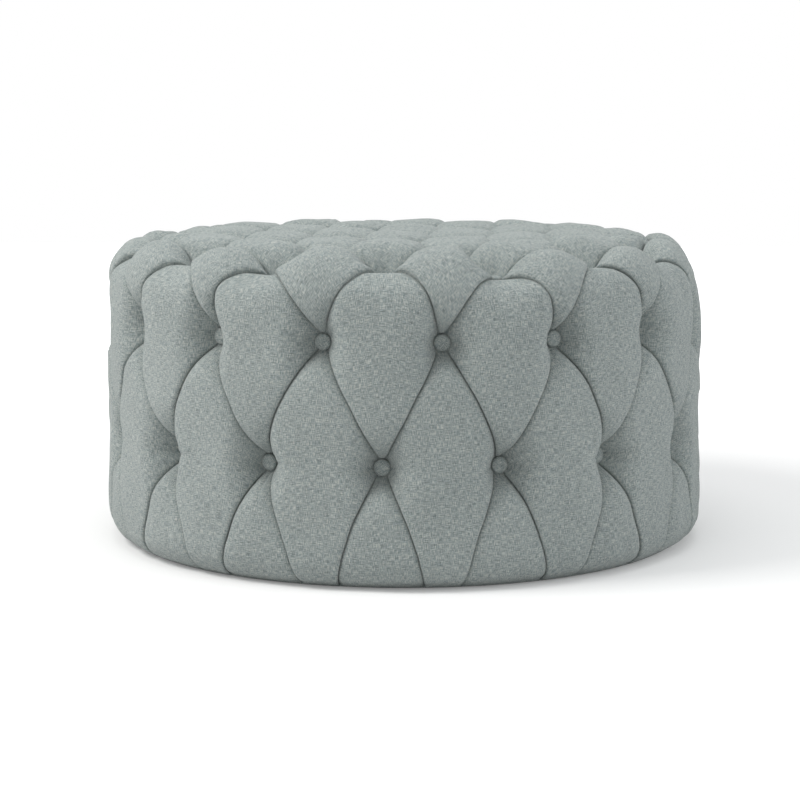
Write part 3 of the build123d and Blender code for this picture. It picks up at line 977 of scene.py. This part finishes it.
# Heathered plain weave: threads of three greys cross, each with its slubs.
def linenFinish():
    made, tree, shader = newMaterial("linen")
    cloth = node(tree, "UVMap", uv_map="cloth").outputs[0]
    across, along = linenLook["threadAcross"], linenLook["threadAlong"]
    finer, shorter = linenLook["warpShares"]
    flecks = across * linenLook["fleckShare"]
    weft = stretched(tree, cloth, (along, across, 1), Detail=2.0, Roughness=0.65)
    warp = stretched(tree, cloth, (across * finer, along * shorter, 1), Detail=2.0, Roughness=0.65)
    fleck = stretched(tree, cloth, (flecks, flecks, 1), Detail=3.0, Roughness=0.7)
    cloudy = stretched(tree, cloth, (linenLook["clouds"], linenLook["clouds"], 1), Detail=3.0, Roughness=0.6)
    parts = node(tree, "SeparateXYZ", {0: cloth})
    u, v = [scaled(tree, parts.outputs[n], linenLook["weave"] * math.pi) for n in (0, 1)]
    sinU, sinV = sums(tree, "SINE", u), sums(tree, "SINE", v)
    over = sums(tree, "GREATER_THAN", scaled(tree, sinU, sinV), 0.0)
    warpUp = scaled(tree, over, sums(tree, "ABSOLUTE", sinU))
    weftUp = scaled(tree, sums(tree, "SUBTRACT", 1.0, over), sums(tree, "ABSOLUTE", sinV))
    weave = sums(tree, "ADD", warpUp, weftUp)
    threads = sums(tree, "ADD", *(scaled(tree, way, linenLook["threadShade"]) for way in (warp, weft)))
    shade = sums(tree, "ADD", threads, scaled(tree, fleck, linenLook["fleckShade"]))
    clouded = scaled(tree, sums(tree, "SUBTRACT", cloudy, 0.5), linenLook["cloudShade"])
    shade = sums(tree, "ADD", shade, clouded)
    warmth = ramp(tree, warp, *linenLook["warmth"])
    color = mixed(tree, 1.0, ramp(tree, shade, *linenLook["threads"]), warmth, blend="MULTIPLY")
    paint(tree, shader, color, linenLook["surface"])
    relief = sums(tree, "ADD", scaled(tree, weave, linenLook["weaveRelief"]),
                  scaled(tree, shade, linenLook["threadRelief"]))
    bumped(tree, shader, relief, linenLook["relief"], linenLook["reliefStrength"])
    return made


def objectPlace(tree):
    return node(tree, "TexCoord").outputs["Object"]


# The plain finishes each have a pattern. It gives what the tones follow, the height of the relief,
# and what lies over the tones, if anything does: how much of it and its color.
# Woods have their grain and a broader figure. Plies show as layers on upright edges.
def woodPattern(tree, place, look):
    grain = stretched(tree, place, look["grain"], Detail=6.0, Roughness=0.62, Distortion=0.6)
    broad = tuple(scale * look["figure"] for scale in look["grain"])
    figure = stretched(tree, place, broad, Detail=2.0, Roughness=0.5)
    value = sums(tree, "ADD", scaled(tree, grain, look["grainShade"]),
                 scaled(tree, figure, look["figureShade"]))
    if "ply" not in look:
        return value, value
    height = node(tree, "SeparateXYZ", {0: place}).outputs[2]
    layer = sums(tree, "SINE", scaled(tree, height, math.pi / look["ply"]))
    facing = node(tree, "SeparateXYZ", {0: node(tree, "NewGeometry").outputs["Normal"]}).outputs[2]
    edge = sums(tree, "LESS_THAN", sums(tree, "ABSOLUTE", facing), 0.5)
    band = scaled(tree, sums(tree, "GREATER_THAN", layer, 0.0), edge)
    return value, value, (scaled(tree, band, look["plyShare"]), look["plyTone"])


def foamPattern(tree, place, look):
    cells = node(tree, "TexVoronoi", {"Vector": place, "Scale": look["cells"]}).outputs["Distance"]
    return noise(tree, place, look["clouds"], Detail=4.0), cells


def hardboardPattern(tree, place, look):
    fibres = noise(tree, place, look["fibres"], Detail=8.0, Roughness=0.75)
    mottle = noise(tree, place, look["mottle"], Detail=3.0)
    shade = sums(tree, "ADD", scaled(tree, fibres, look["fibreShade"]),
                 scaled(tree, mottle, look["mottleShade"]))
    return shade, fibres


def twinePattern(tree, place, look):
    waves = {"Vector": place, "Scale": look["strands"], "Distortion": 3.0, "Detail": 2.0}
    strands = node(tree, "TexWave", waves, bands_direction="DIAGONAL").outputs["Fac"]
    return strands, strands


# Spunbond cloth: matted fibres with the small welded dots that hold them.
def cambricPattern(tree, place, look):
    fibres = noise(tree, place, look["fibres"], Detail=8.0, Roughness=0.8, Distortion=1.2)
    spots = {"Vector": place, "Scale": look["dots"], "Randomness": 0.15}
    dots = node(tree, "TexVoronoi", spots).outputs["Distance"]
    welded = sums(tree, "LESS_THAN", dots, look["dotSize"])
    height = sums(tree, "SUBTRACT", fibres, scaled(tree, welded, look["dotDepth"]))
    return fibres, height, (scaled(tree, welded, look["dotShare"]), look["dotTone"])


def nylonPattern(tree, place, look):
    return stretched(tree, place, look["scuffs"], Detail=4.0), noise(tree, place, look["grain"], Detail=3.0)


# Galvanised wire, a little scratched.
def steelPattern(tree, place, look):
    scratches = stretched(tree, place, look["scratches"], Detail=3.0)
    return scratches, scratches


# Tones with where they are reached, relief as depth and strength. A wood's grain runs along the
# least of its scales, and "figure" is the broader figure's share of them.
wood = {"surface": {"Roughness": 0.62}, "relief": (0.0004, 0.5), "pattern": woodPattern,
        "grainShade": 0.6, "figureShade": 0.4, "figure": 0.22}
pine = {**wood, "tones": ((0.36, (0.56, 0.37, 0.17)), (0.62, (0.76, 0.60, 0.38)))}
finishLook = {
    "birchPlywood": {**wood, "tones": ((0.36, (0.46, 0.32, 0.18)), (0.62, (0.70, 0.55, 0.36))),
                     "grain": (240, 9, 9), "ply": 0.0017, "plyShare": 0.55,
                     "plyTone": (0.207, 0.144, 0.081)},
    "sawnPine": {**pine, "grain": (150, 150, 5)},
    "sawnPineBatten": {**pine, "grain": (150, 5, 150)},
    "turnedBeech": {**wood, "tones": ((0.36, (0.52, 0.34, 0.19)), (0.62, (0.73, 0.53, 0.34))),
                    "surface": {"Roughness": 0.5}, "grain": (420, 420, 90)},
    "topFoam": {"tones": ((0.35, (0.74, 0.66, 0.42)), (0.65, (0.87, 0.81, 0.60))),
                "surface": {"Roughness": 0.95}, "relief": (0.0006, 0.8), "pattern": foamPattern,
                "clouds": 14.0, "cells": 900.0},
    "wallHardboard": {"tones": ((0.38, (0.15, 0.085, 0.045)), (0.62, (0.36, 0.22, 0.125))),
                      "surface": {"Roughness": 0.6}, "relief": (0.0003, 0.5),
                      "pattern": hardboardPattern, "fibres": 260.0, "mottle": 18.0,
                      "fibreShade": 0.7, "mottleShade": 0.3},
    "tuftTwine": {"tones": ((0.2, (0.45, 0.40, 0.31)), (0.8, (0.80, 0.76, 0.66))),
                  "surface": {"Roughness": 0.7}, "relief": (0.0003, 0.8), "pattern": twinePattern,
                  "strands": 420.0},
    "dustCambric": {"tones": ((0.35, (0.012, 0.012, 0.014)), (0.65, (0.050, 0.050, 0.055))),
                    "surface": {"Roughness": 0.8}, "relief": (0.0003, 0.7), "pattern": cambricPattern,
                    "fibres": 420.0, "dots": 520.0, "dotSize": 0.28, "dotDepth": 0.5,
                    "dotShare": 0.6, "dotTone": (0.010, 0.010, 0.012)},
    "glideNylon": {"tones": ((0.4, (0.035, 0.035, 0.037)), (0.75, (0.085, 0.085, 0.088))),
                   "surface": {"Roughness": 0.42}, "relief": (0.0001, 0.5), "pattern": nylonPattern,
                   "grain": 900.0, "scuffs": (300, 60, 60)},
    "stapleSteel": {"tones": ((0.35, (0.42, 0.43, 0.44)), (0.65, (0.66, 0.67, 0.68))),
                    "surface": {"Roughness": 0.38, "Metallic": 1.0}, "relief": (0.00008, 0.5),
                    "pattern": steelPattern, "scratches": (900, 200, 900)},
}


def plainFinish(name, look):
    made, tree, shader = newMaterial(name)
    tone, height, *overlays = look["pattern"](tree, objectPlace(tree), look)
    color = ramp(tree, tone, *look["tones"])
    for much, overTone in overlays:
        color = mixed(tree, much, color, overTone)
    paint(tree, shader, color, look["surface"])
    bumped(tree, shader, height, *look["relief"])
    return made


def finished(piece, finish):
    piece.data.materials.clear()
    piece.data.materials.append(finish)


linen = linenFinish()
plain = {name: plainFinish(name, look) for name, look in finishLook.items()}
finishes = {
    "top_foam": "topFoam", "top_deck": "birchPlywood", "base_ring": "birchPlywood",
    "mid_hoop": "birchPlywood", "side_wall": "wallHardboard", "posts": "sawnPine",
    "post_blocks": "sawnPine", "deck_battens": "sawnPineBatten", "dust_cover": "dustCambric",
    "glides": "glideNylon", "twines": "tuftTwine", "toggles": "turnedBeech",
}
for piece in [cover] + buttonPieces:
    finished(piece, linen)
finished(staples, plain["stapleSteel"])
for name, carried in nodes.items():
    finish = finishes.get(name) or finishes.get(name.split("_")[-1])
    finished(carried, plain[finish] if finish else linen)
print("materials done")

# Stage, lights, camera
stageLook = {
    "floorSide": 14.0,
    "floorTone": 0.80,
    "floorMottle": 0.01,
    "floorSurface": {"Roughness": 0.85, "Specular IOR Level": 0.2, "Emission Color": (1, 1, 1, 1)},
    "floorLift": (0.16, 0.75),  # what the camera sees added, beside the drum and far from it
    "floorOpen": (0.75, 2.2),   # how far from the drum's middle the one turns into the other
    "worldStrength": 0.62,
    "aim": (0, 0, 0.25),        # where the lamps point
}
lightLook = {
    "key": {"spot": (-2.5, -1.1, 2.9), "size": 1.5, "power": 86.0, "color": (1.0, 0.99, 0.97)},
    "fill": {"spot": (3.2, -0.8, 1.5), "size": 2.0, "power": 24.0, "color": (0.94, 0.98, 1.0)},
    "top": {"spot": (0.2, -0.3, 3.3), "size": 2.2, "power": 24.0, "color": (0.95, 0.99, 1.0)},
}
bpy.ops.object.select_all(action="DESELECT")
bpy.ops.mesh.primitive_plane_add(size=stageLook["floorSide"], location=(0, 0, 0))
floor = bpy.context.object
floor.name = "floor"


# 1 for what the camera, a reflection or a refraction sees, 0 for what lights the object.
def seenShare(tree):
    path = node(tree, "LightPath").outputs
    seen = sums(tree, "MAXIMUM", path["Is Camera Ray"], path["Is Glossy Ray"])
    return sums(tree, "MAXIMUM", seen, path["Is Transmission Ray"])


floorMaterial, floorTree, floorShader = newMaterial("paleFloor")
floorPlace = objectPlace(floorTree)
floorNoise = node(floorTree, "TexNoise", {"Scale": 3.0, "Detail": 3.0}).outputs["Fac"]
darkTone, paleTone = ((stageLook["floorTone"] + way * stageLook["floorMottle"],) * 3 for way in (-1, 1))
paint(floorTree, floorShader, ramp(floorTree, floorNoise, (0.3, darkTone), (0.7, paleTone)),
      stageLook["floorSurface"])
fromDrum = node(floorTree, "VectorMath", {0: floorPlace}, operation="LENGTH").outputs["Value"]
floorLift = node(floorTree, "MapRange", {
    "Value": fromDrum, "From Min": stageLook["floorOpen"][0], "From Max": stageLook["floorOpen"][1],
    "To Min": stageLook["floorLift"][0], "To Max": stageLook["floorLift"][1],
}, interpolation_type="SMOOTHSTEP").outputs[0]
lifted = scaled(floorTree, seenShare(floorTree), floorLift)
floorTree.links.new(lifted, floorShader.inputs["Emission Strength"])
floor.data.materials.append(floorMaterial)
floor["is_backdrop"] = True

world = bpy.data.worlds.new("studio")
bpy.context.scene.world = world
world.use_nodes = True
sky = world.node_tree.nodes["Background"]
sky.inputs["Color"].default_value = (1, 1, 1, 1)
white = node(world.node_tree, "MapRange", {
    "Value": seenShare(world.node_tree), "To Min": stageLook["worldStrength"], "To Max": 1.0,
}).outputs[0]
world.node_tree.links.new(white, sky.inputs["Strength"])

for name, look in lightLook.items():
    bpy.ops.object.light_add(type="AREA", location=look["spot"])
    light = bpy.context.object
    light.name = name
    light.data.energy = look["power"]
    light.data.color = look["color"]
    light.data.size = look["size"]
    toDrum = Vector(stageLook["aim"]) - Vector(look["spot"])
    light.rotation_euler = toDrum.to_track_quat("-Z", "Y").to_euler()

cameraLook = {
    "distance": 2.9907,
    "height": 0.621,
    "azimuth": 4.2,
    "pitch": 0.141,
    "lens": 88.0,
    "shift": -0.00559,
}
angle = math.radians(cameraLook["azimuth"])
bpy.ops.object.camera_add(
    location=(cameraLook["distance"] * math.sin(angle), -cameraLook["distance"] * math.cos(angle),
              cameraLook["height"]),
    rotation=(math.pi / 2 - cameraLook["pitch"], 0, angle))
camera = bpy.context.object
camera.data.lens = cameraLook["lens"]
camera.data.shift_x = cameraLook["shift"]
bpy.context.scene.camera = camera
bpy.context.scene.view_settings.view_transform = "Standard"

low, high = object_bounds()
print("stage done")
